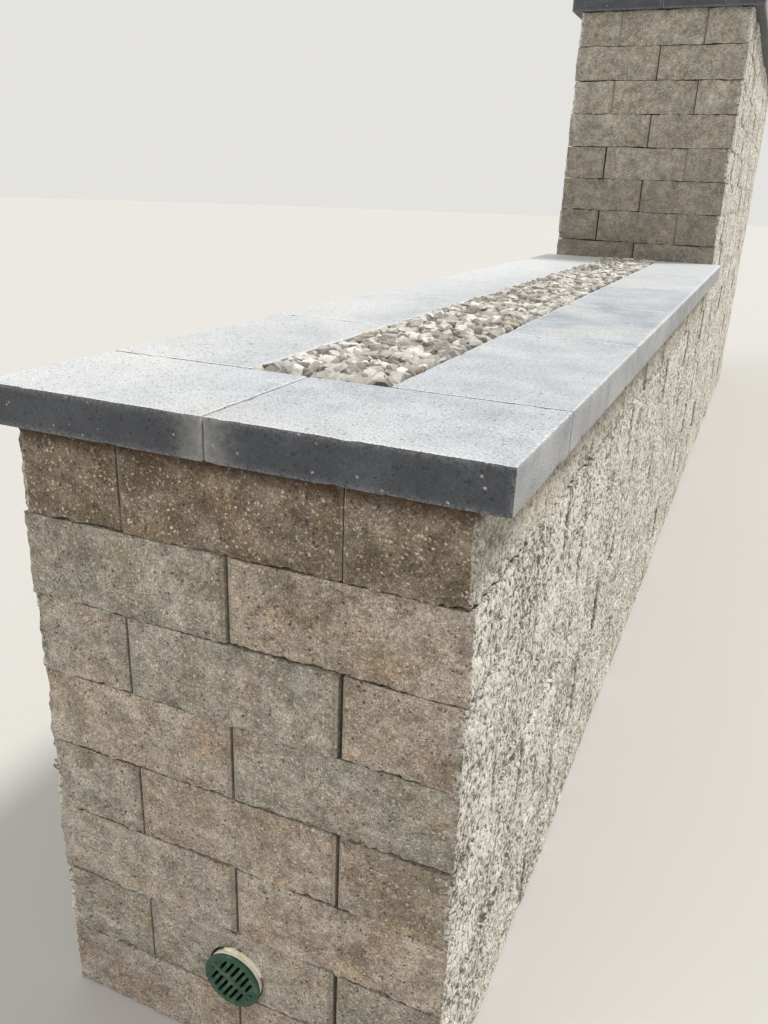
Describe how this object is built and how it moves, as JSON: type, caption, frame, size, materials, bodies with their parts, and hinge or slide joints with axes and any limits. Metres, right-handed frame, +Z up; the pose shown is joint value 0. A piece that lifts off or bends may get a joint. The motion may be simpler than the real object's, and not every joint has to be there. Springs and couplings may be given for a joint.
{
  "type": "block planter wall",
  "caption": "Stepped planter wall of split-face concrete blocks in half bond, gravel filled, with overhanging slab caps and a round drain grate in the near end.",
  "frame": {"origin": "middle of the footprint, at the bottom of the walls", "axes": "+X across the planter, +Y along it from the lower tier to the upper tier, +Z up"},
  "size_m": [0.89, 7.84, 2.5084],
  "materials": {
    "split_block": "split face, rough",
    "cap_slab": "cast, lightly pitted",
    "gravel": "crushed, rough",
    "drain_pipe": "satin",
    "drain_grate": "satin"
  },
  "bodies": {
    "root": {"drain_grate": "drain_grate", "drain_pipe": "drain_pipe", "lower_cap_front_left": "cap_slab", "lower_cap_front_right": "cap_slab", "lower_cap_left_1": "cap_slab", "lower_cap_left_2": "cap_slab", "lower_cap_left_3": "cap_slab", "lower_cap_left_4": "cap_slab", "lower_cap_left_5": "cap_slab", "lower_cap_left_6": "cap_slab", "lower_cap_right_1": "cap_slab", "lower_cap_right_2": "cap_slab", "lower_cap_right_3": "cap_slab", "lower_cap_right_4": "cap_slab", "lower_cap_right_5": "cap_slab", "lower_front_wall": "split_block", "lower_gravel": "gravel", "lower_left_wall": "split_block", "lower_right_wall": "split_block", "upper_back_wall": "split_block", "upper_cap_back_left": "cap_slab", "upper_cap_back_right": "cap_slab", "upper_cap_front_left": "cap_slab", "upper_cap_front_right": "cap_slab", "upper_cap_left_1": "cap_slab", "upper_cap_left_2": "cap_slab", "upper_cap_left_3": "cap_slab", "upper_cap_left_4": "cap_slab", "upper_cap_left_5": "cap_slab", "upper_cap_left_6": "cap_slab", "upper_cap_right_1": "cap_slab", "upper_cap_right_2": "cap_slab", "upper_cap_right_3": "cap_slab", "upper_cap_right_4": "cap_slab", "upper_cap_right_5": "cap_slab", "upper_front_wall": "split_block", "upper_gravel": "gravel", "upper_left_wall": "split_block", "upper_right_wall": "split_block"}
  },
  "joints": []
}
